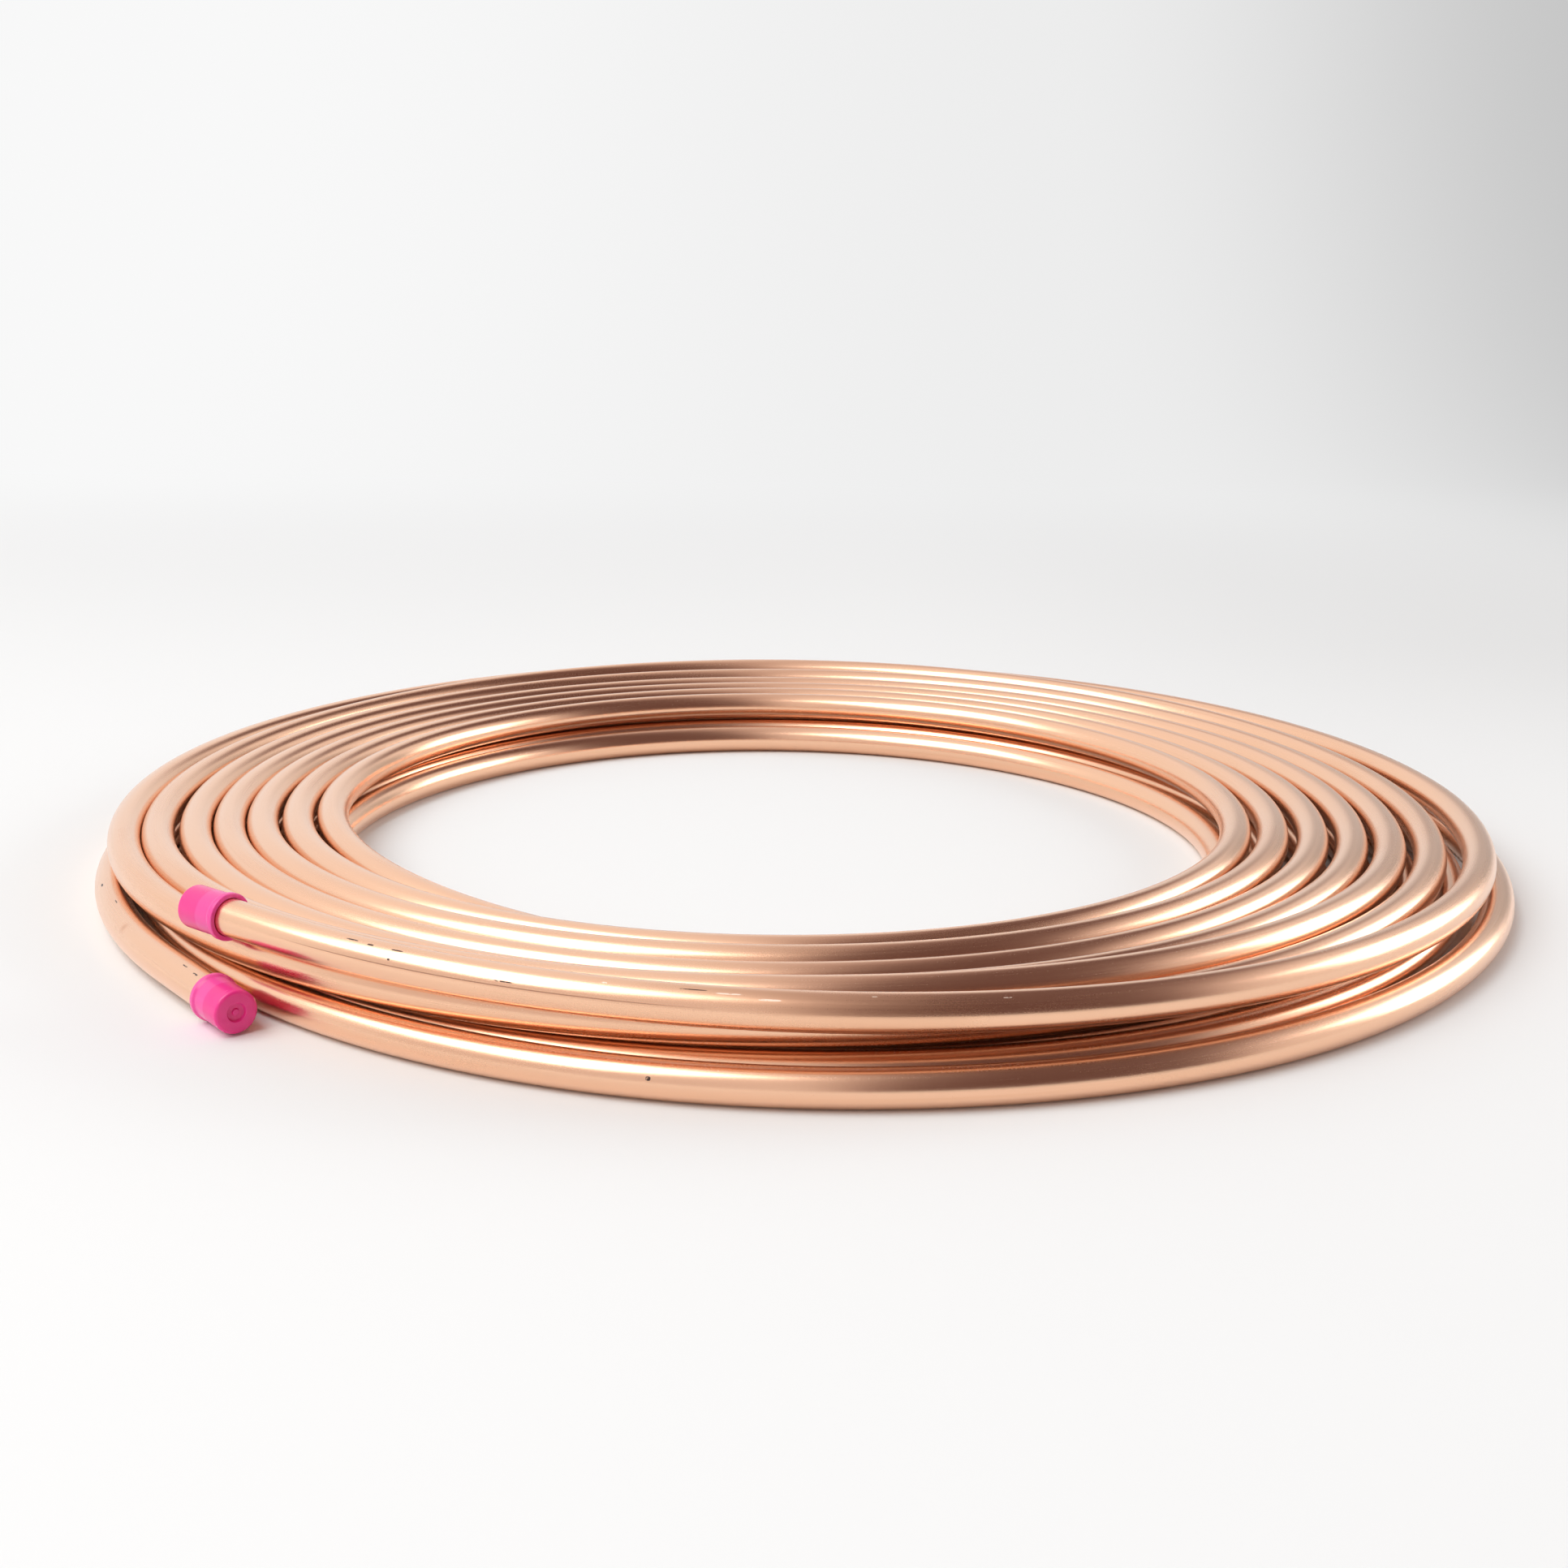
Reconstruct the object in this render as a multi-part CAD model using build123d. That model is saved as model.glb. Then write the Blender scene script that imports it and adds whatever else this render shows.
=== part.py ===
from build123d import *
import math
import os

# Copper tube coil: one soft-drawn tube wound as a flat coil of two layers,
# lying on its lower layer, with a moulded push-on cap over each of its ends.
# Millimetres, +Z up. The coil is wound about Z and stands on Z = 0.

# The tube
tube_od = 9.52
tube_wall = 0.8

# The winding, counted in turns from the upper end's side (+X) inwards,
# down to the lower layer, and outwards again
top_turns = 6.5
step_turns = 0.45
step_fall_turns = 0.36
bottom_turns = 6.55
top_inner_radius = 140.0
top_turn_gap = 1.06
bottom_inset = 3.7
bottom_turn_gap = 2.6
layer_gap = 0.4

# Where it steps down the tube is pulled in, clear of the turn beside it
step_pull_in = 5.0

# The upper turns lie looser at the sides than at the front and back, by this much a turn
side_slack = 0.28

# How far each upper turn stands outside its even place at its side,
# right and left in turn, from the outermost to the innermost
top_side_offsets = (0.1, 0.2, 0.0, 0.65, -0.2, -0.2, 0.25, 0.0, 0.15, 0.25, -0.3, -0.2, -0.1, -0.2)
side_reach = 0.25

# Sideways drift of the turns' centre, from the first turn of a layer to its last
top_outer_shift = (0.4, 7.0)
top_inner_shift = (-4.0, 3.7)
bottom_inner_shift = (-0.7, -8.3)
bottom_outer_shift = (10.7, 3.8)

# Stretches that have ridden up on the turns beside them: the middle of each, in turns,
# which is at the back a quarter past a whole turn and at the front three quarters past, and how far up
ridden_stretches = ((1.25, 3.0), (1.75, 3.8), (2.25, 1.2), (4.75, 0.9))
lift_reach = 0.25

# The upper end leaves the coil, lifts off it and lies over the turn below
upper_end_turns = 0.352
upper_rise = 10.0
upper_rise_over = 0.40
upper_bow = 3.5
upper_bow_back = 0.30
upper_pull_rate = 22.0

# The lower end flares away from the coil along the floor
lower_end_turns = 0.11
lower_flare = 1.6
lower_flare_from = 0.22

# Straight tube that shows between each cap and the first bend
upper_end_show = 16.0
lower_end_show = 27.0

# The caps
cap_wall = 0.8
cap_clearance = 0.02
cap_end_gap = 0.05
cap_floor = 1.6
cap_length = 14.0
cap_lip_thickness = 0.5
cap_lip_length = 1.6
cap_edge_radius = 0.7
cap_dimple_radius = 2.4
cap_dimple_depth = 0.9
cap_nub_radius = 0.8
cap_nub_height = 0.5

# The path is laid as circular arcs, two to each of these spans of a turn
spans_per_turn = 8

# Worked-out sizes
tube_radius = tube_od / 2
bore_radius = tube_radius - tube_wall
upper_straight = cap_length - cap_floor + upper_end_show
lower_straight = cap_length - cap_floor + lower_end_show
cap_bore_radius = tube_radius + cap_clearance
cap_radius = cap_bore_radius + cap_wall
top_pitch = tube_od + top_turn_gap
bottom_pitch = tube_od + bottom_turn_gap
bottom_inner_radius = top_inner_radius - bottom_inset
layer_step = tube_od + layer_gap
bottom_height = tube_radius
top_height = bottom_height + layer_step
first_bottom_turn = top_turns + step_turns
last_turn = first_bottom_turn + bottom_turns
start_turn = -upper_end_turns
end_turn = last_turn + lower_end_turns


def ease(t):
    """Smooth step from 0 to 1, level at both ends."""
    t = min(max(t, 0.0), 1.0)
    return t * t * (3 - 2 * t)


def hump(aside):
    """1 in the middle and 0 from aside 1 on, level at both."""
    return math.cos(math.pi / 2 * min(aside, 1.0)) ** 2


def blend(a, b, t):
    """Value between a and b, for numbers or pairs."""
    if isinstance(a, tuple):
        return tuple(blend(p, q, t) for p, q in zip(a, b))
    return a + (b - a) * t


def winding_radius(turn):
    """Radius of the centreline about its drifting centre."""
    if turn > first_bottom_turn:
        return bottom_inner_radius + bottom_pitch * (turn - first_bottom_turn) + lower_end_flare(turn)
    pitch = top_pitch + side_slack * math.cos(4 * math.pi * turn)
    top = top_inner_radius + pitch * (top_turns - turn) + upper_end_bow(turn) + side_offset(turn)
    down = ease((turn - top_turns) / step_turns)
    return blend(top, bottom_inner_radius, down) - step_pull_in * 4 * down * (1 - down)


def side_offset(turn):
    """Uneven winding of the upper layer: each side's offset, fading out towards the front and back."""
    side = min(max(round(2 * turn), 0), len(top_side_offsets) - 1)
    return top_side_offsets[side] * hump(abs(turn - side / 2) / side_reach)


def upper_end_bow(turn):
    """The outermost top turn stands out at its side and is pulled in towards its end."""
    if turn >= 0:
        return upper_bow * (1 - ease(turn / upper_bow_back))
    return upper_bow + upper_pull_rate * turn


def lower_end_flare(turn):
    """The lower end leaves the turn beside it."""
    reach = turn - (end_turn - lower_flare_from - lower_end_turns)
    return lower_flare * ease(reach / (lower_flare_from + lower_end_turns))


def winding_shift(turn):
    """Place of the turns' centre, seen from above."""
    if turn <= top_turns:
        return blend(top_outer_shift, top_inner_shift, max(turn, 0.0) / top_turns)
    if turn < first_bottom_turn:
        return blend(top_inner_shift, bottom_inner_shift, ease((turn - top_turns) / step_turns))
    return blend(bottom_inner_shift, bottom_outer_shift, (turn - first_bottom_turn) / bottom_turns)


def ridden_up(turn):
    """Height that the tube has over its layer where it has ridden up."""
    return sum(lift * hump(abs(turn - middle) / lift_reach) for middle, lift in ridden_stretches)


def winding_height(turn):
    """Height of the centreline above the floor."""
    if turn <= top_turns:
        end_rise = upper_rise * ease(-turn / upper_rise_over)
        return top_height + end_rise + ridden_up(turn)
    if turn < first_bottom_turn:
        return blend(top_height, bottom_height, ease((turn - top_turns) / step_fall_turns))
    cap_lift = cap_radius + cap_lip_thickness - tube_radius
    return bottom_height + cap_lift * ease((turn - last_turn) / lower_end_turns)


def centreline(turn):
    """Point of the tube's centreline."""
    angle = 2 * math.pi * turn
    shift_x, shift_y = winding_shift(turn)
    radius = winding_radius(turn)
    return Vector(
        shift_x + radius * math.cos(angle),
        shift_y + radius * math.sin(angle),
        winding_height(turn),
    )


def heading(turn):
    """Unit tangent of the centreline."""
    step = 1e-4
    return (centreline(turn + step) - centreline(turn - step)).normalized()


def turned_arc(start, way, end):
    """Circular arc that leaves start along way and reaches end.

    Gives the centre of the bend, its axis and the angle turned about it in degrees.
    """
    chord = end - start
    axis = way.cross(chord).normalized()
    angle = 2 * way.get_angle(chord)
    bend_radius = chord.length / (2 * math.sin(math.radians(angle / 2)))
    centre = start + axis.cross(way) * bend_radius
    return centre, axis, angle


def double_arc(start, start_way, end, end_way):
    """Two tangent arcs that leave start and reach end along the given directions."""
    chord = end - start
    both = start_way + end_way
    turned = 2 * (1 - start_way.dot(end_way))
    root = math.sqrt(chord.dot(both) ** 2 + turned * chord.dot(chord))
    reach = (root - chord.dot(both)) / turned
    start_corner = start + start_way * reach
    end_corner = end - end_way * reach
    middle = (start_corner + end_corner) * 0.5
    middle_way = (end_corner - start_corner).normalized()
    return [turned_arc(start, start_way, middle), turned_arc(middle, middle_way, end)]


def tube_arcs():
    """The bends of the tube, from its upper end to its lower end."""
    count = math.ceil((end_turn - start_turn) * spans_per_turn)
    turns = [start_turn + (end_turn - start_turn) * i / count for i in range(count + 1)]
    arcs = []
    for here, there in zip(turns, turns[1:]):
        arcs += double_arc(centreline(here), heading(here), centreline(there), heading(there))
    return arcs


def turned_plane(plane, centre, axis, angle):
    """The plane carried round a bend, so the next section starts where this one stops."""
    origin = centre + (plane.origin - centre).rotate(Axis((0, 0, 0), axis), angle)
    x_way = plane.x_dir.rotate(Axis((0, 0, 0), axis), angle)
    z_way = plane.z_dir.rotate(Axis((0, 0, 0), axis), angle)
    return Plane(origin=origin, x_dir=x_way, z_dir=z_way)


def section_rings(plane):
    """Outside and bore of the tube's section."""
    return [Edge.make_circle(tube_radius, plane), Edge.make_circle(bore_radius, plane)]


def end_face(plane):
    """The sawn end of the tube."""
    return Face(Wire(section_rings(plane)[0]), [Wire(section_rings(plane)[1])])


def make_tube():
    """The tube: a straight end, the turned bends of the winding, and a straight end."""
    way = heading(start_turn)
    plane = Plane(origin=centreline(start_turn) - way * upper_straight, z_dir=way)
    upper_end = plane
    walls = [Face.extrude(ring, way * upper_straight) for ring in section_rings(plane)]
    plane = Plane(origin=centreline(start_turn), x_dir=plane.x_dir, z_dir=way)
    length = upper_straight + lower_straight
    for centre, axis, angle in tube_arcs():
        bend = Axis(centre, axis)
        walls += [Face.revolve(ring, angle, bend) for ring in section_rings(plane)]
        length += math.radians(angle) * (plane.origin - centre).length
        plane = turned_plane(plane, centre, axis, angle)
    walls += [Face.extrude(ring, plane.z_dir * lower_straight) for ring in section_rings(plane)]
    lower_end = Plane(origin=plane.origin + plane.z_dir * lower_straight, x_dir=plane.x_dir, z_dir=plane.z_dir)
    tube = Solid(Shell(walls + [end_face(upper_end), end_face(lower_end)]))
    return tube, upper_end, lower_end, length


def make_cap():
    """A cap as it is moulded, its mouth down and its closed end on top.

    The end of the tube comes up to Z = 0 inside it.
    """
    skirt = cap_length - cap_floor - cap_end_gap
    closed_end = cap_end_gap + cap_floor
    body = Pos(0, 0, -skirt) * Cylinder(cap_radius, cap_length, align=(Align.CENTER, Align.CENTER, Align.MIN))
    body = fillet(body.edges().sort_by(Axis.Z)[-1], cap_edge_radius)
    lip = Cylinder(cap_radius + cap_lip_thickness, cap_lip_length, align=(Align.CENTER, Align.CENTER, Align.MIN))
    lip = chamfer(lip.edges().sort_by(Axis.Z)[-1], cap_lip_thickness * 0.8)
    bore = Cylinder(cap_bore_radius, skirt + cap_end_gap, align=(Align.CENTER, Align.CENTER, Align.MIN))
    dimple = Pos(0, 0, closed_end) * Cylinder(cap_dimple_radius, 2 * cap_dimple_depth)
    nub_low = closed_end - cap_dimple_depth
    nub = Pos(0, 0, nub_low) * Cylinder(cap_nub_radius, 2 * cap_nub_height)
    return body + Pos(0, 0, -skirt) * lip - Pos(0, 0, -skirt) * bore - dimple + nub


tube, upper_end, lower_end, tube_length = make_tube()
cap = make_cap()
pieces = {
    "copper_tube": tube,
    "upper_end_cap": Plane(origin=upper_end.origin, x_dir=upper_end.x_dir, z_dir=-upper_end.z_dir) * cap,
    "lower_end_cap": lower_end * cap,
}

# The origin is the middle of the whole coil's outline, on the floor
whole = Compound(list(pieces.values())).bounding_box()
to_origin = Location((-whole.center().X, -whole.center().Y, -whole.min.Z))

os.makedirs("parts", exist_ok=True)
for name, piece in pieces.items():
    export_step(to_origin * piece, f"parts/{name}.step")

ring_area = math.pi * (tube_radius**2 - bore_radius**2)
print(f"tube {tube_length / 1000:.3f} m, volume over section times length {tube.volume / ring_area / tube_length:.6f}")
print(f"box {whole.size.X:.2f} x {whole.size.Y:.2f} x {whole.size.Z:.2f}, lowest {whole.min.Z:.4f}")
print(f"moved to the origin by {to_origin.position.X:.4f}, {to_origin.position.Y:.4f}")
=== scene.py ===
import math

import bpy
import numpy as np
from mathutils import Matrix, Vector


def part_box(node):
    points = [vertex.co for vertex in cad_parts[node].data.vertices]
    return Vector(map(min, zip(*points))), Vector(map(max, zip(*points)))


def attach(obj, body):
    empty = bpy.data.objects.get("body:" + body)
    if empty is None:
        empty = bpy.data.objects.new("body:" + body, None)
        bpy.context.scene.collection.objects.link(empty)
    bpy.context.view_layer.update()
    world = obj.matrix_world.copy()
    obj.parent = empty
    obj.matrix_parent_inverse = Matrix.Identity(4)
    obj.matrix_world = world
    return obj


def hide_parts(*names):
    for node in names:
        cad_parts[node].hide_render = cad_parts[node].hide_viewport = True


bl_info = {
    "name": "Copper Tube Coil",
    "version": (1, 0, 0),
    "blender": (4, 5, 0),
    "location": "View3D > Sidebar > Copper Coil",
    "description": "Builds a flat coil of copper tube with a pink cap over each end, on a pale studio floor",
    "category": "Object",
}

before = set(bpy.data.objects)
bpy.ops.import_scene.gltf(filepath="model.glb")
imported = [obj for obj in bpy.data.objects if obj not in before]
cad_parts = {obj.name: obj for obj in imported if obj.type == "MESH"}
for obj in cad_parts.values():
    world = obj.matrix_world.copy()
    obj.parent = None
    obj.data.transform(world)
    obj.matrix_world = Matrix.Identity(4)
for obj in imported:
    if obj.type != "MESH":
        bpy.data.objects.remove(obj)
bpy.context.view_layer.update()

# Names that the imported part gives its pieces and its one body
TUBE_NODE = "copper_tube"
UPPER_CAP_NODE = "upper_end_cap"
LOWER_CAP_NODE = "lower_end_cap"
BODY = "root"


# Settings

# How far the upper turns stand outside their even places, right and left in turn, from the outermost
TOP_SIDE_OFFSETS = (
    0.0001, 0.0002, 0.0, 0.00065, -0.0002, -0.0002, 0.00025,
    0.0, 0.00015, 0.00025, -0.0003, -0.0002, -0.0001, -0.0002,
)
# Stretches that have ridden up on the turns beside them: middles in turns, and how far up in metres
RIDDEN_TURNS = (1.25, 1.75, 2.25, 4.75)
RIDDEN_LIFTS = (0.003, 0.0038, 0.0012, 0.0009)


class TubeSettings(bpy.types.PropertyGroup):
    """Sizes of the tube and of its winding."""

    diameter: bpy.props.FloatProperty(
        name="Tube diameter", description="Outside diameter of the tube", default=0.00952, unit="LENGTH")
    wall: bpy.props.FloatProperty(
        name="Tube wall", description="Thickness of the tube's wall", default=0.0008, unit="LENGTH")
    top_turns: bpy.props.FloatProperty(
        name="Top turns", description="Turns of the upper layer", default=6.5)
    step_turns: bpy.props.FloatProperty(
        name="Step turns", description="Turns over which the tube moves to the lower layer", default=0.45)
    step_fall_turns: bpy.props.FloatProperty(
        name="Step fall", description="Turns over which the tube comes down to the lower layer", default=0.36)
    bottom_turns: bpy.props.FloatProperty(
        name="Bottom turns", description="Turns of the lower layer", default=6.55)
    top_inner_radius: bpy.props.FloatProperty(
        name="Top inner radius",
        description="Radius of the innermost upper turn",
        default=0.140, unit="LENGTH")
    top_turn_gap: bpy.props.FloatProperty(
        name="Top gap", description="Gap between upper turns", default=0.00106, unit="LENGTH")
    bottom_inset: bpy.props.FloatProperty(
        name="Bottom inset", description="How far the lower layer starts inside the upper one",
        default=0.0037, unit="LENGTH")
    bottom_turn_gap: bpy.props.FloatProperty(
        name="Bottom gap", description="Gap between lower turns", default=0.0026, unit="LENGTH")
    layer_gap: bpy.props.FloatProperty(
        name="Layer gap", description="Gap between the two layers", default=0.0004, unit="LENGTH")
    step_pull_in: bpy.props.FloatProperty(
        name="Step pull-in", description="How far the tube is pulled in where it steps down",
        default=0.005, unit="LENGTH")
    side_slack: bpy.props.FloatProperty(
        name="Side slack",
        description="How much looser the upper turns lie at the sides than at front and back",
        default=0.00028, unit="LENGTH")
    side_offsets: bpy.props.FloatVectorProperty(
        name="Side offsets",
        description="How far each upper turn stands outside its even place, right and left",
        default=TOP_SIDE_OFFSETS, size=len(TOP_SIDE_OFFSETS), unit="LENGTH")
    side_reach: bpy.props.FloatProperty(
        name="Side reach", description="Turns each way over which a side's offset fades", default=0.25)
    top_outer_shift: bpy.props.FloatVectorProperty(
        name="Top outer shift", description="Centre of the outermost upper turn",
        default=(0.0004, 0.007), size=2, subtype="XYZ", unit="LENGTH")
    top_inner_shift: bpy.props.FloatVectorProperty(
        name="Top inner shift", description="Centre of the innermost upper turn",
        default=(-0.004, 0.0037), size=2, subtype="XYZ", unit="LENGTH")
    bottom_inner_shift: bpy.props.FloatVectorProperty(
        name="Bottom inner shift", description="Centre of the innermost lower turn",
        default=(-0.0007, -0.0083), size=2, subtype="XYZ", unit="LENGTH")
    bottom_outer_shift: bpy.props.FloatVectorProperty(
        name="Bottom outer shift", description="Centre of the outermost lower turn",
        default=(0.0107, 0.0038), size=2, subtype="XYZ", unit="LENGTH")
    ridden_turns: bpy.props.FloatVectorProperty(
        name="Ridden-up turns",
        description="Middles of the stretches that have ridden up on the turns beside them",
        default=RIDDEN_TURNS, size=len(RIDDEN_TURNS))
    ridden_lifts: bpy.props.FloatVectorProperty(
        name="Ridden-up lifts", description="How far each of those stretches has ridden up",
        default=RIDDEN_LIFTS, size=len(RIDDEN_LIFTS), unit="LENGTH")
    lift_reach: bpy.props.FloatProperty(
        name="Lift reach", description="Turns each way over which such a stretch settles", default=0.25)
    upper_end_turns: bpy.props.FloatProperty(
        name="Upper end", description="Turns of the raised end", default=0.352)
    upper_rise: bpy.props.FloatProperty(
        name="Upper rise", description="Rise of the raised end", default=0.010, unit="LENGTH")
    upper_rise_over: bpy.props.FloatProperty(
        name="Upper rise over", description="Turns over which that end rises", default=0.40)
    upper_bow: bpy.props.FloatProperty(
        name="Upper bow",
        description="How far the outermost upper turn stands out",
        default=0.0035, unit="LENGTH")
    upper_bow_back: bpy.props.FloatProperty(
        name="Upper bow back", description="Turns over which it comes back to the rest", default=0.30)
    upper_pull_rate: bpy.props.FloatProperty(
        name="Upper pull", description="How fast the raised end is pulled in, for each turn",
        default=0.022, unit="LENGTH")
    lower_end_turns: bpy.props.FloatProperty(
        name="Lower end", description="Turns of the end on the floor", default=0.11)
    lower_flare: bpy.props.FloatProperty(
        name="Lower flare", description="How far that end leaves the coil", default=0.0016, unit="LENGTH")
    lower_flare_from: bpy.props.FloatProperty(
        name="Lower flare from", description="Turns before the end where it starts to leave", default=0.22)
    upper_end_show: bpy.props.FloatProperty(
        name="Upper straight", description="Straight tube between the upper cap and the first bend",
        default=0.016, unit="LENGTH")
    lower_end_show: bpy.props.FloatProperty(
        name="Lower straight", description="Straight tube between the last bend and the lower cap",
        default=0.027, unit="LENGTH")


class CapSettings(bpy.types.PropertyGroup):
    """Sizes and colour of the caps."""

    length: bpy.props.FloatProperty(
        name="Cap length", description="Length of a cap", default=0.014, unit="LENGTH")
    wall: bpy.props.FloatProperty(
        name="Cap wall", description="Thickness of a cap's skirt", default=0.0008, unit="LENGTH")
    floor: bpy.props.FloatProperty(
        name="Cap end", description="Thickness of a cap's closed end", default=0.0016, unit="LENGTH")
    clearance: bpy.props.FloatProperty(
        name="Cap clearance", description="Gap between a cap and the tube", default=0.00002, unit="LENGTH")
    end_gap: bpy.props.FloatProperty(
        name="Cap end gap",
        description="Gap between the tube's end and the cap",
        default=0.00005, unit="LENGTH")
    lip_thickness: bpy.props.FloatProperty(
        name="Lip thickness", description="How far the lip stands out", default=0.0005, unit="LENGTH")
    lip_length: bpy.props.FloatProperty(
        name="Lip length", description="Length of the lip", default=0.0016, unit="LENGTH")
    edge_radius: bpy.props.FloatProperty(
        name="Edge radius", description="Rounding of the closed end", default=0.0009, unit="LENGTH")
    dimple_radius: bpy.props.FloatProperty(
        name="Dimple radius",
        description="Radius of the dimple in the closed end",
        default=0.0024, unit="LENGTH")
    dimple_depth: bpy.props.FloatProperty(
        name="Dimple depth", description="Depth of that dimple", default=0.0009, unit="LENGTH")
    nub_radius: bpy.props.FloatProperty(
        name="Nub radius", description="Radius of the moulding nub", default=0.0008, unit="LENGTH")
    nub_height: bpy.props.FloatProperty(
        name="Nub height",
        description="Height of the nub above the dimple's floor",
        default=0.0005, unit="LENGTH")
    colour: bpy.props.FloatVectorProperty(
        name="Cap colour", description="Colour of the plastic", default=(0.88, 0.042, 0.285), size=3,
        subtype="COLOR", min=0.0, max=1.0)


class FinishSettings(bpy.types.PropertyGroup):
    """Finish of the copper."""

    copper: bpy.props.FloatVectorProperty(
        name="Copper", description="Colour of clean drawn copper", default=(0.96, 0.585, 0.385), size=3,
        subtype="COLOR", min=0.0, max=1.0)
    tarnish: bpy.props.FloatVectorProperty(
        name="Handled copper",
        description="Colour of copper that has been handled",
        default=(0.84, 0.46, 0.27),
        size=3, subtype="COLOR", min=0.0, max=1.0)
    roughness: bpy.props.FloatProperty(
        name="Roughness", description="Roughness of clean drawn copper", default=0.25)
    haze: bpy.props.FloatProperty(
        name="Haze",
        description="Pale haze that a thin film of drawing oil leaves",
        default=0.5, min=0.0, max=1.0)
    line_depth: bpy.props.FloatProperty(
        name="Line depth", description="Depth of the drawing lines", default=0.000008, unit="LENGTH")
    grain_depth: bpy.props.FloatProperty(
        name="Grain depth", description="Depth of the fine grain", default=0.000005, unit="LENGTH")


# Shader maths

class Link:
    """A shader socket that takes part in Python sums."""

    def __init__(self, shader, socket):
        self.shader = shader
        self.socket = socket

    def math(self, operation, *others, clamp=False):
        inputs = dict(enumerate((self,) + others))
        return self.shader.node("ShaderNodeMath", {"operation": operation, "use_clamp": clamp}, inputs)

    def __add__(self, other):
        return self.math("ADD", other)

    def __radd__(self, other):
        return self.math("ADD", other)

    def __sub__(self, other):
        return self.math("SUBTRACT", other)

    def __rsub__(self, other):
        return self.shader.node("ShaderNodeMath", {"operation": "SUBTRACT"}, {0: other, 1: self})

    def __mul__(self, other):
        return self.math("MULTIPLY", other)

    def __rmul__(self, other):
        return self.math("MULTIPLY", other)

    def __truediv__(self, other):
        return self.math("DIVIDE", other)

    def __rtruediv__(self, other):
        return self.shader.node("ShaderNodeMath", {"operation": "DIVIDE"}, {0: other, 1: self})

    def __pow__(self, other):
        return self.math("POWER", other)

    def step(self, low, high):
        """0 below low, 1 above high, smooth between; the other way round where low is above high."""
        settings = {"interpolation_type": "SMOOTHSTEP"}
        ends = (low, high, 0.0, 1.0) if low < high else (high, low, 1.0, 0.0)
        return self.shader.node("ShaderNodeMapRange", settings, dict(enumerate((self,) + ends)))

    def near(self, middle, reach):
        """1 at middle, falling to 0 at reach to either side."""
        return (self - middle).math("ABSOLUTE").step(reach, 0.0)


class Shader:
    """The node tree of one material or world, built by expressions."""

    def __init__(self, tree):
        self.tree = tree
        tree.nodes.clear()

    def node(self, kind, settings=None, inputs=None, out=0):
        """Adds a node, applies its settings, feeds its sockets and returns one of its outputs."""
        made = self.tree.nodes.new(kind)
        for name, value in (settings or {}).items():
            setattr(made, name, value)
        for key, value in (inputs or {}).items():
            if isinstance(value, Link):
                self.tree.links.new(value.socket, made.inputs[key])
            else:
                made.inputs[key].default_value = value
        return Link(self, made.outputs[out])

    def combine(self, x, y, z):
        return self.node("ShaderNodeCombineXYZ", inputs={0: x, 1: y, 2: z})

    def split(self, vector):
        parts = self.node("ShaderNodeSeparateXYZ", inputs={0: vector})
        outputs = parts.socket.node.outputs
        return [Link(self, outputs[i]) for i in range(3)]

    def noise(self, vector, scale, detail=2.0, roughness=0.5):
        inputs = {"Vector": vector, "Scale": scale, "Detail": detail, "Roughness": roughness}
        return self.node("ShaderNodeTexNoise", inputs=inputs)

    def mix(self, factor, first, second):
        """Colour between first and second."""
        return self.node("ShaderNodeMix", {"data_type": "RGBA"}, {0: factor, 6: first, 7: second}, out=2)

    def bump(self, height, distance, normal=None):
        inputs = {"Height": height, "Distance": distance, "Strength": 1.0}
        if normal is not None:
            inputs["Normal"] = normal
        return self.node("ShaderNodeBump", inputs=inputs)

    def output(self, surface, kind="ShaderNodeOutputMaterial"):
        made = self.tree.nodes.new(kind)
        self.tree.links.new(surface.socket, made.inputs["Surface"])


def new_material(name):
    material = bpy.data.materials.new(name)
    material.use_nodes = True
    return material, Shader(material.node_tree)


def opaque(colour):
    return (*colour, 1.0)


# Winding

def ease(t):
    """Smooth step from 0 to 1, level at both ends."""
    t = np.clip(t, 0.0, 1.0)
    return t * t * (3 - 2 * t)


def between(a, b, t):
    """Pairs between a and b, one for each value of t."""
    return np.asarray(a) + (np.asarray(b) - np.asarray(a)) * t[:, None]


def hump(aside):
    """1 in the middle and 0 from aside 1 on, the square of a quarter cosine."""
    return np.cos(math.pi / 2 * np.minimum(aside, 1.0)) ** 2


def ridden_up(turn, s):
    """Height over the layer where the tube has ridden up: a hump about the middle of each raised stretch."""
    stretches = zip(s.ridden_turns, s.ridden_lifts)
    return sum(lift * hump(np.abs(turn - middle) / s.lift_reach) for middle, lift in stretches)


def side_offset(turn, s):
    """Uneven winding: the nearest side's offset, fading out towards the front and back."""
    side = np.clip(np.rint(2 * turn).astype(int), 0, len(s.side_offsets) - 1)
    return np.array(s.side_offsets[:])[side] * hump(np.abs(turn - side / 2) / s.side_reach)


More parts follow.
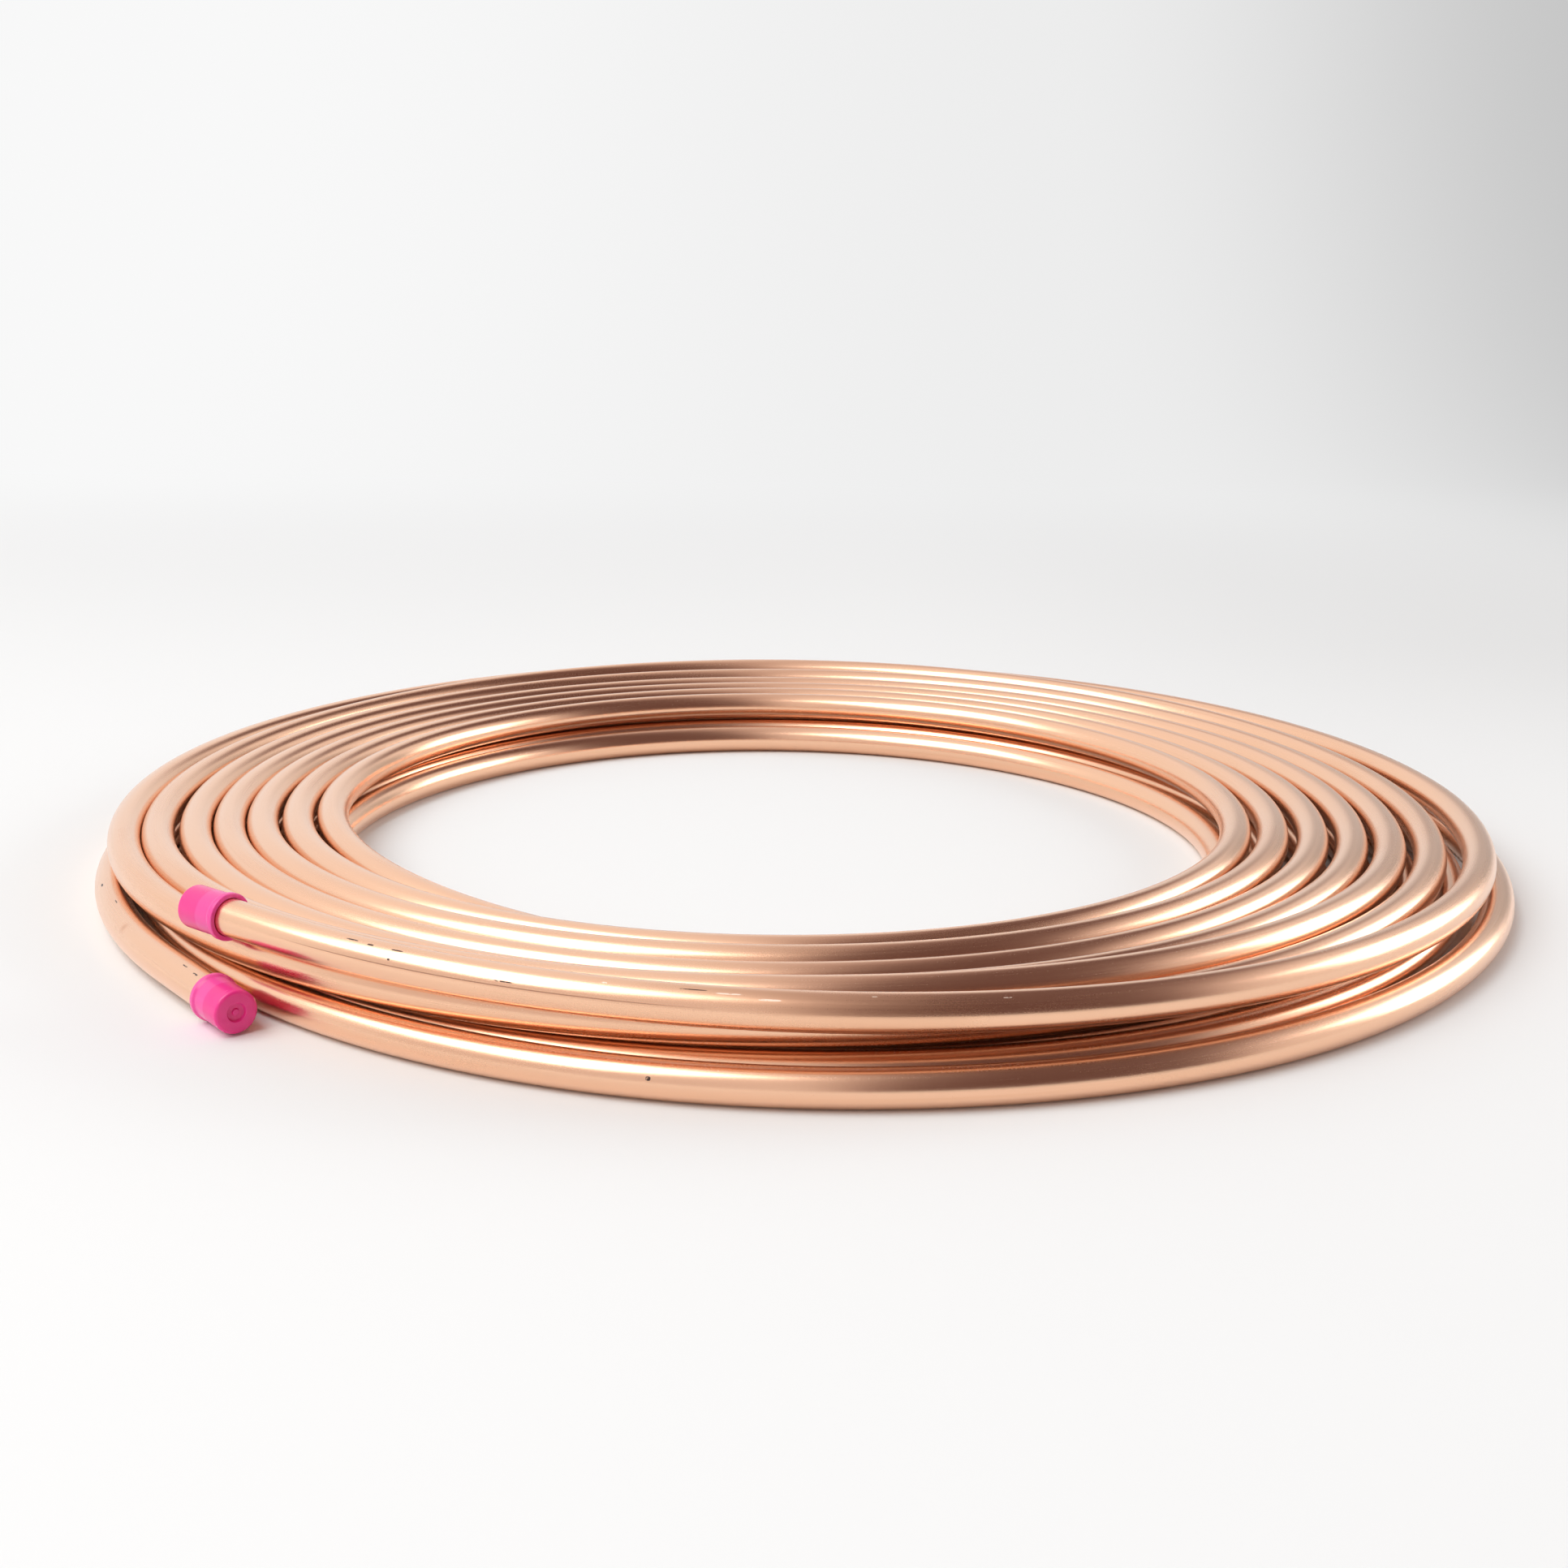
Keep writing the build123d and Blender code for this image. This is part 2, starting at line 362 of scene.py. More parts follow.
def winding_radius(turn, s):
    """Radius of each turn about its drifting centre.

    A layer's radius grows by one pitch a turn. In the upper layer the pitch swells and shrinks twice a turn.
    """
    top_pitch = s.diameter + s.top_turn_gap + s.side_slack * np.cos(4 * math.pi * turn)
    back = s.upper_bow * (1 - ease(turn / s.upper_bow_back))
    bow = np.where(turn >= 0, back, s.upper_bow + s.upper_pull_rate * turn)
    top = s.top_inner_radius + top_pitch * (s.top_turns - turn) + bow + side_offset(turn, s)
    inner = s.top_inner_radius - s.bottom_inset
    down = ease((turn - s.top_turns) / s.step_turns)
    first = s.top_turns + s.step_turns
    upper = top + (inner - top) * down - s.step_pull_in * 4 * down * (1 - down)
    end = first + s.bottom_turns + s.lower_end_turns
    flare_turns = s.lower_flare_from + s.lower_end_turns
    flare = s.lower_flare * ease((turn - (end - flare_turns)) / flare_turns)
    lower = inner + (s.diameter + s.bottom_turn_gap) * (turn - first) + flare
    return np.where(turn > first, lower, upper)


def winding_shift(turn, s):
    """Centre of each turn: it drifts evenly through a layer and eases over the step."""
    first = s.top_turns + s.step_turns
    top = between(s.top_outer_shift, s.top_inner_shift, np.maximum(turn, 0.0) / s.top_turns)
    step = between(s.top_inner_shift, s.bottom_inner_shift, ease((turn - s.top_turns) / s.step_turns))
    bottom = between(s.bottom_inner_shift, s.bottom_outer_shift, (turn - first) / s.bottom_turns)
    shift = np.where((turn <= s.top_turns)[:, None], top, step)
    return np.where((turn >= first)[:, None], bottom, shift)


def winding_height(turn, s, cap_lift):
    """Height of the centreline: two level layers, the step between them, raised stretches and both ends."""
    low = s.diameter / 2
    high = low + s.diameter + s.layer_gap
    last = s.top_turns + s.step_turns + s.bottom_turns
    top = high + s.upper_rise * ease(-turn / s.upper_rise_over) + ridden_up(turn, s)
    step = high + (low - high) * ease((turn - s.top_turns) / s.step_fall_turns)
    bottom = low + cap_lift * ease((turn - last) / s.lower_end_turns)
    height = np.where(turn <= s.top_turns, top, step)
    return np.where(turn >= s.top_turns + s.step_turns, bottom, height)


def winding(turn, s, cap_lift):
    """Centreline points: the turn's centre, its radius at an angle of one circle a turn, and its height."""
    turn = np.asarray(turn, dtype=float)
    angle = 2 * math.pi * turn
    ring = np.stack([np.cos(angle), np.sin(angle)], axis=1)
    flat = winding_shift(turn, s) + winding_radius(turn, s)[:, None] * ring
    return np.column_stack([flat, winding_height(turn, s, cap_lift)])


def unit(vectors):
    return vectors / np.linalg.norm(vectors, axis=-1, keepdims=True)


# Points along the winding, and the turns ahead and behind from which its heading is taken
WINDING_SAMPLES = 9000
HEADING_STEP = 1e-4


class TubePath:
    """The whole centreline by distance: a straight end, the winding, and a straight end."""

    def __init__(self, tube, cap):
        cap_radius = tube.diameter / 2 + cap.clearance + cap.wall
        cap_lift = cap_radius + cap.lip_thickness - tube.diameter / 2
        start = -tube.upper_end_turns
        end = tube.top_turns + tube.step_turns + tube.bottom_turns + tube.lower_end_turns
        turns = np.linspace(start, end, WINDING_SAMPLES)
        points = winding(turns, tube, cap_lift)
        ahead = winding(turns + HEADING_STEP, tube, cap_lift)
        behind = winding(turns - HEADING_STEP, tube, cap_lift)
        ways = unit(ahead - behind)
        covered = cap.length - cap.floor
        upper_end = points[:1] - ways[:1] * (covered + tube.upper_end_show)
        lower_end = points[-1:] + ways[-1:] * (covered + tube.lower_end_show)
        self.points = np.concatenate([upper_end, points, lower_end])
        self.ways = np.concatenate([ways[:1], ways, ways[-1:]])
        steps = np.linalg.norm(np.diff(self.points, axis=0), axis=1)
        self.distance = np.concatenate([[0.0], np.cumsum(steps)])
        self.turns = np.concatenate([[start], turns, [end]])
        self.length = self.distance[-1]

    def move(self, offset):
        self.points = self.points + offset

    def at(self, distance):
        """Points and unit headings at these distances from the upper end."""
        points = [np.interp(distance, self.distance, self.points[:, i]) for i in range(3)]
        ways = [np.interp(distance, self.distance, self.ways[:, i]) for i in range(3)]
        return np.stack(points, axis=1), unit(np.stack(ways, axis=1))

    def rings(self, distance, radius, sides):
        """Round sections: the centreline point plus the radius times a cosine outwards and a sine upwards.

        The first corner of each ring is at its bottom.
        """
        points, ways = self.at(distance)
        outwards = unit(np.cross(ways, (0.0, 0.0, 1.0)))
        upwards = np.cross(outwards, ways)
        angle = 2 * math.pi * np.arange(sides) / sides - math.pi / 2
        around = outwards[:, None, :] * np.cos(angle)[None, :, None]
        around = around + upwards[:, None, :] * np.sin(angle)[None, :, None]
        return points[:, None, :] + radius * around


def tube_path():
    """The path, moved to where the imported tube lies."""
    scene = bpy.context.scene
    tube = scene.copper_coil_tube
    path = TubePath(tube, scene.copper_coil_cap)
    low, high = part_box(TUBE_NODE)
    skin = path.rings(np.linspace(0.0, path.length, WINDING_SAMPLES), tube.diameter / 2, TUBE_SIDES)
    skin = skin.reshape(-1, 3)
    middle = (skin.min(axis=0) + skin.max(axis=0)) / 2
    offset = (np.array(low) + np.array(high)) / 2 - middle
    path.move(offset)
    return path


# Meshes

def quads_between_rings(rings, sides, first=0, flip=False):
    """Faces of a closed-round grid whose corners are numbered ring by ring."""
    ring = np.arange(rings - 1)[:, None] * sides
    side = np.arange(sides)[None, :]
    after = (side + 1) % sides
    corners = np.stack([ring + side, ring + after, ring + sides + after, ring + sides + side], axis=-1)
    corners = corners.reshape(-1, 4) + first
    return corners[:, ::-1] if flip else corners


def make_piece(name, points, faces, uv=None):
    """A smooth mesh object at the origin, made of whole arrays."""
    mesh = bpy.data.meshes.new(name)
    mesh.from_pydata(points.tolist(), [], [list(face) for face in faces])
    mesh.update()
    mesh.polygons.foreach_set("use_smooth", np.ones(len(mesh.polygons), dtype=bool))
    if uv is not None:
        layer = mesh.uv_layers.new(name="UVMap")
        layer.data.foreach_set("uv", np.asarray(uv, dtype=np.float32).ravel())
    if mesh.validate():
        raise RuntimeError(name + " has faulty faces")
    piece = bpy.data.objects.new(name, mesh)
    bpy.context.collection.objects.link(piece)
    return piece


# Corners round the skin and the bore, and rings along them; the bore has half the skin's corners
TUBE_SIDES = 32
TUBE_RINGS = 2600
BORE_SIDES = 16
BORE_RINGS = 900


def tube_mesh(path, tube):
    """Outer skin, bore and two sawn ends, as points, faces and one UV pair a corner.

    Along the skin U is the share of the tube's length and V the share of its round, from its bottom.
    """
    outer = path.rings(np.linspace(0.0, path.length, TUBE_RINGS), tube.diameter / 2, TUBE_SIDES)
    inner = path.rings(np.linspace(0.0, path.length, BORE_RINGS), tube.diameter / 2 - tube.wall, BORE_SIDES)
    points = np.concatenate([outer.reshape(-1, 3), inner.reshape(-1, 3)])
    bore_start = TUBE_RINGS * TUBE_SIDES
    skin = quads_between_rings(TUBE_RINGS, TUBE_SIDES, flip=True)
    bore = quads_between_rings(BORE_RINGS, BORE_SIDES, first=bore_start)
    faces = [skin, bore]
    uv = [skin_uv(TUBE_RINGS, TUBE_SIDES)[:, ::-1], skin_uv(BORE_RINGS, BORE_SIDES)]
    for end in (0, 1):
        outer_first = end * (TUBE_RINGS - 1) * TUBE_SIDES
        inner_first = bore_start + end * (BORE_RINGS - 1) * BORE_SIDES
        triangles, quads = sawn_end(outer_first, inner_first)
        if end == 0:
            triangles, quads = triangles[:, ::-1], quads[:, ::-1]
        faces += [triangles, quads]
        uv += [np.full((len(triangles), 3, 2), float(end)), np.full((len(quads), 4, 2), float(end))]
    all_faces = [face for group in faces for face in group.tolist()]
    all_uv = np.concatenate([pairs.reshape(-1, 2) for pairs in uv])
    return points, all_faces, all_uv


def skin_uv(rings, sides):
    """UV of each corner of quads_between_rings."""
    u = np.arange(rings - 1)[:, None] / (rings - 1) + np.zeros((1, sides))
    v = np.arange(sides)[None, :] / sides + np.zeros((rings - 1, 1))
    du = 1.0 / (rings - 1)
    dv = 1.0 / sides
    corners = [(u, v), (u, v + dv), (u + du, v + dv), (u + du, v)]
    return np.stack([np.stack(corner, axis=-1) for corner in corners], axis=2).reshape(-1, 4, 2)


def sawn_end(outer_first, inner_first):
    """Ring between the skin's round and the bore's, which has half as many corners."""
    i = np.arange(BORE_SIDES)
    after = (i + 1) % BORE_SIDES
    outer = outer_first + 2 * i
    outer_mid = outer + 1
    outer_after = outer_first + 2 * after
    triangles = np.stack([outer, outer_mid, inner_first + i], axis=1)
    quads = np.stack([outer_mid, outer_after, inner_first + after, inner_first + i], axis=1)
    return triangles, quads


ROUNDING_STEPS = 6


def rounded(corners):
    """A profile of points (radius, height, rounding) with each rounded corner made an arc.

    The arc touches both sides of its corner, at the rounding over the tangent of half the corner's angle.
    """
    made = []
    for i, (x, y, radius) in enumerate(corners):
        here = np.array([x, y])
        if radius == 0 or i in (0, len(corners) - 1):
            made.append(here[None])
            continue
        back = unit(np.array(corners[i - 1][:2]) - here)
        forth = unit(np.array(corners[i + 1][:2]) - here)
        half = math.acos(np.clip(back @ forth, -1, 1)) / 2
        reach = radius / math.tan(half)
        centre = here + unit(back + forth) * radius / math.sin(half)
        start = here + back * reach - centre
        end = here + forth * reach - centre
        t = np.linspace(0.0, 1.0, ROUNDING_STEPS)[:, None]
        angle = math.acos(np.clip(unit(start) @ unit(end), -1, 1))
        arc = (np.sin((1 - t) * angle) * start + np.sin(t * angle) * end) / math.sin(angle)
        made.append(centre + arc)
    return np.concatenate(made)


CAP_SIDES = 96
# How far a cap's walls lean or run out, in metres, and how much wider the nub's foot is
NUB_FOOT = 1.1
DIMPLE_SLOPE = 0.0002
SKIRT_SLOPE = 0.00005
LIP_RUN_IN = 0.0006
LIP_RUN_OUT = 0.0001
MOUTH_FLARE = 0.0001
# Roundings of a cap's corners, in metres
NUB_ROUNDING = 0.00018
DIMPLE_FLOOR_ROUNDING = 0.00036
DIMPLE_RIM_ROUNDING = 0.000216
LIP_FOOT_ROUNDING = 0.0008
LIP_SHOULDER_ROUNDING = 0.0004
LIP_EDGE_ROUNDING = 0.0003
MOUTH_ROUNDING = 0.00015
BORE_END_ROUNDING = 0.0002
# Name of the attribute that gives each point's height past the tube's sawn end
PAST_TUBE = "past_tube"


def cap_profile(tube, cap):
    """Outline of half the cap, from the middle of its closed end, over the skirt and lip, to its bore."""
    bore = tube.diameter / 2 + cap.clearance
    body = bore + cap.wall
    lip = body + cap.lip_thickness
    top = cap.end_gap + cap.floor
    mouth = top - cap.length
    lip_top = mouth + cap.lip_length
    dimple = top - cap.dimple_depth
    nub = dimple + cap.nub_height
    corners = [
        (0.0, nub, 0.0),
        (cap.nub_radius, nub, NUB_ROUNDING),
        (cap.nub_radius * NUB_FOOT, dimple, NUB_ROUNDING),
        (cap.dimple_radius - DIMPLE_SLOPE, dimple, DIMPLE_FLOOR_ROUNDING),
        (cap.dimple_radius, top, DIMPLE_RIM_ROUNDING),
        (body - SKIRT_SLOPE, top, cap.edge_radius),
        (body, lip_top + LIP_RUN_IN, LIP_FOOT_ROUNDING),
        (lip, lip_top - LIP_RUN_OUT, LIP_SHOULDER_ROUNDING),
        (lip, mouth, LIP_EDGE_ROUNDING),
        (bore + MOUTH_FLARE, mouth, MOUTH_ROUNDING),
        (bore, cap.end_gap, BORE_END_ROUNDING),
        (0.0, cap.end_gap, 0.0),
    ]
    return rounded(corners)


def cap_mesh(profile, origin, axis):
    """A surface of revolution: each profile point turned about the axis, with one point at either pole.

    Gives its points, its faces and each point's height past the tube's sawn end.
    """
    across = unit(np.cross(axis, (0.0, 0.0, 1.0)))
    up = np.cross(across, axis)
    angle = 2 * math.pi * np.arange(CAP_SIDES) / CAP_SIDES
    ring = across[None, :] * np.cos(angle)[:, None] + up[None, :] * np.sin(angle)[:, None]
    middle = profile[1:-1]
    grid = origin + middle[:, 1][:, None, None] * axis + middle[:, 0][:, None, None] * ring[None]
    poles = [origin + axis * profile[0, 1], origin + axis * profile[-1, 1]]
    points = np.concatenate([grid.reshape(-1, 3), np.array(poles)])
    heights = np.concatenate([np.repeat(middle[:, 1], CAP_SIDES), [profile[0, 1], profile[-1, 1]]])
    rings = len(middle)
    quads = quads_between_rings(rings, CAP_SIDES)
    side = np.arange(CAP_SIDES)
    after = (side + 1) % CAP_SIDES
    first_pole = np.full(CAP_SIDES, rings * CAP_SIDES)
    last = (rings - 1) * CAP_SIDES
    outer_fan = np.stack([after, side, first_pole], axis=1)
    inner_fan = np.stack([last + side, last + after, first_pole + 1], axis=1)
    faces = quads.tolist() + outer_fan.tolist() + inner_fan.tolist()
    return points, faces, heights


# Materials

# Noise cells a metre, along the tube and round it
LINE_SCALES = (14.0, 2600.0)
BROAD_LINE_SCALES = (5.0, 500.0)
SWAY_SCALES = (18.0, 90.0)
PATCH_SCALES = (9.0, 60.0)
GRAIN_SCALES = (2600.0, 2600.0)
BREAK_SCALES = (1800.0, 1800.0)
# Noise levels over which patches, broad lines and the breaks in scuffs come in
PATCH_EDGE = (0.5, 0.72)
BROAD_LINE_EDGE = (0.62, 0.78)
BREAK_EDGE = (0.32, 0.42)
# Levels over which scuffs and the painted horizon line come in from their outlines
SCUFF_EDGE = (0.02, 0.16)
HORIZON_LINE_EDGE = (0.0, 0.3)
# How strongly each kind of mark tints the copper
PATCH_TINT = 0.35
BROAD_LINE_TINT = 0.3
HORIZON_LINE_TINT = 0.7
BLOTCH_TINT = 0.4
# How much rougher each of them is than clean copper
PATCH_ROUGHNESS = 0.05
LINE_ROUGHNESS = 0.10
GRAIN_ROUGHNESS = 0.06
WORN_ROUGHNESS = 0.25
HAZE_ROUGHNESS = 0.3
# Depth of the slow waves in the tube's skin, in metres
SWAY_DEPTH = 0.00012
# Colours of dark scuffs, of the brown blotch and the painted horizon line, and of light scratches
MARK_DARK = (0.07, 0.04, 0.03, 1.0)
BLOTCH_AND_HORIZON_BROWN = (0.35, 0.16, 0.09, 1.0)
MARK_LIGHT = (1.0, 0.82, 0.68, 1.0)
# Marks on the tube: metres from its upper end, degrees round from its bottom, length and width in metres
DARK_MARKS = (
    (0.0565, 158, 0.0042, 0.0005),
    (0.0620, 154, 0.0022, 0.0006),
    (0.0695, 154, 0.0040, 0.0005),
    (0.0685, 122, 0.0010, 0.0006),
    (0.0980, 118, 0.0055, 0.0004),
    (0.1410, 158, 0.0075, 0.0004),
    (14.2150, 112, 0.0014, 0.0012),
    (15.3330, 145, 0.0030, 0.0008),
    (15.3530, 169, 0.0035, 0.0004),
    (15.4140, 162, 0.0030, 0.0005),
    (15.4210, 158, 0.0030, 0.0006),
)
LIGHT_MARKS = (
    (0.1210, 154, 0.0015, 0.0005),
    (0.1490, 151, 0.0070, 0.0005),
    (0.1580, 138, 0.0060, 0.0006),
    (0.1810, 160, 0.0015, 0.0004),
    (0.2110, 150, 0.0025, 0.0004),
)
# A thin dark line along the first stretch, a painted reflection of the horizon, and a rubbed blotch near the
# lower cap
HORIZON_LINE = (0.0900, 105, 0.1300, 0.0003)
BLOTCH = (15.3735, 140, 0.0050, 0.0045)


def mark(along, angle, radius, place):
    """1 within a mark's length and width, and 0 outside it."""
    distance, degrees, length, width = place
    aside = (angle - math.radians(degrees)) * radius
    return along.near(distance, length / 2) * aside.near(0.0, width / 2)


def marks(along, angle, radius, places):
    """All marks of a kind, added up."""
    found = [mark(along, angle, radius, place) for place in places]
    return sum(found[1:], found[0])


def stretched(sh, skin, scales):
    """The skin's coordinates, with one scale along the tube and another round it."""
    along, across, upright = skin
    return sh.combine(along * scales[0], across * scales[1], upright * scales[1])


def copper_material(path_length, radius, finish):
    """Bright drawn copper: fine lines along the tube, grain, handled patches, scuffs, and a thin dark line
    that is a painted reflection of the horizon.
    """
    material, sh = new_material("Drawn copper")
    u, v, _ = sh.split(sh.node("ShaderNodeUVMap", {"uv_map": "UVMap"}))
    along = u * path_length
    angle = v * (2 * math.pi)
    skin = (along, angle.math("COSINE") * radius, angle.math("SINE") * radius)
    lines = sh.noise(stretched(sh, skin, LINE_SCALES), 1.0, detail=3.0, roughness=0.6)
    broad_lines = sh.noise(stretched(sh, skin, BROAD_LINE_SCALES), 1.0)
    grain = sh.noise(stretched(sh, skin, GRAIN_SCALES), 1.0, roughness=0.7)
    sway = sh.noise(stretched(sh, skin, SWAY_SCALES), 1.0, detail=1.0)
    patches = sh.noise(stretched(sh, skin, PATCH_SCALES), 1.0, detail=4.0, roughness=0.6)
    handled = patches.step(*PATCH_EDGE)
    broken = sh.noise(stretched(sh, skin, BREAK_SCALES), 1.0).step(*BREAK_EDGE)
    dark = marks(along, angle, radius, DARK_MARKS).step(*SCUFF_EDGE) * broken
    light = marks(along, angle, radius, LIGHT_MARKS).step(*SCUFF_EDGE) * broken
    # Painted reflection: a thin dark line where the tube reflects the horizon, along the first stretch
    horizon_line = mark(along, angle, radius, HORIZON_LINE).step(*HORIZON_LINE_EDGE)
    rubbed = mark(along, angle, radius, BLOTCH)
    colour = sh.mix(handled * PATCH_TINT, opaque(finish.copper), opaque(finish.tarnish))
    colour = sh.mix(broad_lines.step(*BROAD_LINE_EDGE) * BROAD_LINE_TINT, colour, opaque(finish.tarnish))
    # Brown for the rubbed blotch and for the painted reflection of the horizon
    colour = sh.mix(horizon_line * HORIZON_LINE_TINT + rubbed * BLOTCH_TINT, colour, BLOTCH_AND_HORIZON_BROWN)
    colour = sh.mix(dark, colour, MARK_DARK)
    colour = sh.mix(light, colour, MARK_LIGHT)
    worn = dark.math("MAXIMUM", light).math("MAXIMUM", rubbed)
    rough = finish.roughness + handled * PATCH_ROUGHNESS + worn * WORN_ROUGHNESS
    rough = rough + (lines - 0.5) * LINE_ROUGHNESS + (grain - 0.5) * GRAIN_ROUGHNESS
    normal = sh.bump(sway, SWAY_DEPTH)
    normal = sh.bump(broad_lines, finish.line_depth * 2.0, normal)
    normal = sh.bump(lines, finish.line_depth, normal)
    normal = sh.bump(grain, finish.grain_depth, normal)
    surface = sh.node("ShaderNodeBsdfPrincipled", inputs={
        "Base Color": colour,
        "Metallic": 1.0,
        "Roughness": rough,
        "Normal": normal,
        "Coat Weight": finish.haze,
        "Coat Roughness": HAZE_ROUGHNESS,
    })
    sh.output(surface)
    return material


# Noise cells a metre in a cap's skin and in its clouds, and the levels over which the clouds come in
CAP_SKIN_SCALE = 700.0
CAP_CLOUD_SCALE = 120.0
CAP_CLOUD_EDGE = (0.35, 0.75)
# Red, green and blue of the clouds and of the tight part, as shares of the cap's own
CLOUD_SHARES = (0.95, 0.8, 0.95)
TIGHT_SHARES = (1.0, 2.6, 1.5)
# Heights past the tube's sawn end over which the skirt becomes tight on it, and how strongly that shows
TIGHT_EDGE = (-0.0052, -0.0060)
TIGHT_TINT = 0.5
# Roughness of the plastic, how much its skin adds, and that skin's depth in metres
CAP_ROUGHNESS = 0.20
CAP_SKIN_ROUGHNESS = 0.10
CAP_SKIN_DEPTH = 0.000004
# How much light enters the plastic, how far in metres, and how that differs for red, green and blue
CAP_GLOW = 0.3
CAP_GLOW_DEPTH = 0.0015
CAP_GLOW_SPREAD = (1.0, 0.3, 0.5)


def tinted(colour, shares):
    return opaque(channel * share for channel, share in zip(colour, shares))


def cap_material(cap):
    """Glossy pink plastic with a faint moulded skin, paler where its skirt is stretched tight on the tube."""
    material, sh = new_material("Pink cap plastic")
    place = sh.node("ShaderNodeTexCoord", out=3)
    skin = sh.noise(place, CAP_SKIN_SCALE)
    cloud = sh.noise(place, CAP_CLOUD_SCALE)
    colour = sh.mix(cloud.step(*CAP_CLOUD_EDGE), opaque(cap.colour), tinted(cap.colour, CLOUD_SHARES))
    past_tube = sh.node("ShaderNodeAttribute", {"attribute_name": PAST_TUBE}, out=2)
    tight = past_tube.step(*TIGHT_EDGE)
    colour = sh.mix(tight * TIGHT_TINT, colour, tinted(cap.colour, TIGHT_SHARES))
    surface = sh.node("ShaderNodeBsdfPrincipled", inputs={
        "Base Color": colour,
        "Roughness": CAP_ROUGHNESS + skin * CAP_SKIN_ROUGHNESS,
        "Subsurface Weight": CAP_GLOW,
        "Subsurface Radius": CAP_GLOW_SPREAD,
        "Subsurface Scale": CAP_GLOW_DEPTH,
        "Normal": sh.bump(skin, CAP_SKIN_DEPTH),
    })
    sh.output(surface)
    return material


# Stage

def studio_way(azimuth, elevation):
    """Direction from the coil, by the angles to the right of the camera's side and up from the floor."""
    azimuth, elevation = math.radians(azimuth), math.radians(elevation)
    return Vector((
        math.sin(azimuth) * math.cos(elevation),
        -math.cos(azimuth) * math.cos(elevation),
        math.sin(elevation),
    ))


# Camera's place and aim, in metres and degrees, its lens and sensor in millimetres, and the winding's centre
CAMERA_DISTANCE = 0.640
CAMERA_ELEVATION = 16.512
CAMERA_ROLL = 0.768
CAMERA_YAW = -0.062
CAMERA_PITCH = 1.832
CAMERA_LENS = 45.40
CAMERA_SENSOR = 36.0
CAMERA_NEAREST = 0.01
WINDING_CENTRE = (-0.0066397, -0.0059098, 0.0)


def make_camera():
    """A camera in front of the coil's winding centre, raised from it and aimed a little above it."""
    place = studio_way(0.0, CAMERA_ELEVATION) * CAMERA_DISTANCE + Vector(WINDING_CENTRE)
    heading = math.radians(CAMERA_YAW)
    tilt = math.radians(CAMERA_PITCH - CAMERA_ELEVATION)
    forward = Vector((math.sin(heading) * math.cos(tilt), math.cos(heading) * math.cos(tilt), math.sin(tilt)))
    right = forward.cross(Vector((0, 0, 1))).normalized()
    up = right.cross(forward)
    roll = math.radians(CAMERA_ROLL)
    right, up = right * math.cos(roll) + up * math.sin(roll), up * math.cos(roll) - right * math.sin(roll)
    turn = Matrix((right, up, -forward)).transposed()
    data = bpy.data.cameras.new("Camera")
    data.lens = CAMERA_LENS
    data.sensor_width = CAMERA_SENSOR
    data.clip_start = CAMERA_NEAREST
    camera = bpy.data.objects.new("Camera", data)
    camera.matrix_world = Matrix.Translation(place) @ turn.to_4x4()
    bpy.context.collection.objects.link(camera)
    bpy.context.scene.camera = camera


# Softboxes: metres from the coil, watts for each square metre, and the angles that each one has and covers
SOFTBOX_DISTANCE = 2.0
SOFTBOX_POWER = 10.8
SOFTBOXES = (
    ("Left softbox", -62.0, 53.0, 44.0, 38.0),
    ("Right softbox", 106.0, 19.0, 32.0, 28.0),
)


def make_softbox(name, azimuth, elevation, width_angle, height_angle):
    """A rectangular lamp that faces the coil and covers these angles as seen from it."""
    width = 2 * SOFTBOX_DISTANCE * math.tan(math.radians(width_angle / 2))
    height = 2 * SOFTBOX_DISTANCE * math.tan(math.radians(height_angle / 2))
    way = studio_way(azimuth, elevation)
    data = bpy.data.lights.new(name, "AREA")
    data.shape = "RECTANGLE"
    data.size = width
    data.size_y = height
    data.energy = SOFTBOX_POWER * width * height
    lamp = bpy.data.objects.new(name, data)
    facing = way.to_track_quat("Z", "Y").to_matrix().to_4x4()
    lamp.matrix_world = Matrix.Translation(way * SOFTBOX_DISTANCE) @ facing
    lamp.visible_camera = False
    bpy.context.collection.objects.link(lamp)


WORLD_LEVEL = 0.95
DARK_LEVEL = 0.12
# Edges of the dark part: at its left, at its right, which slants with the depth, and low at the back
DARK_LEFT_EDGE = (-0.1, 0.2)
DARK_RIGHT_EDGE = (0.80, 0.62)
DARK_RIGHT_SLANT = 0.42
DARK_BACK_EDGE = (0.98, 0.8)
# Edges of the parts at the right and at the front left, and how much darker they are
RIGHT_EDGE = (0.45, 0.8)
RIGHT_DROP = 0.12
FRONT_EDGE = (-0.1, -0.5)
LEFT_EDGE = (0.0, -0.2)
FRONT_LEFT_DROP = 0.2
# Powers of the red level that give green and blue
GREEN_POWER = 1.3
BLUE_POWER = 1.35


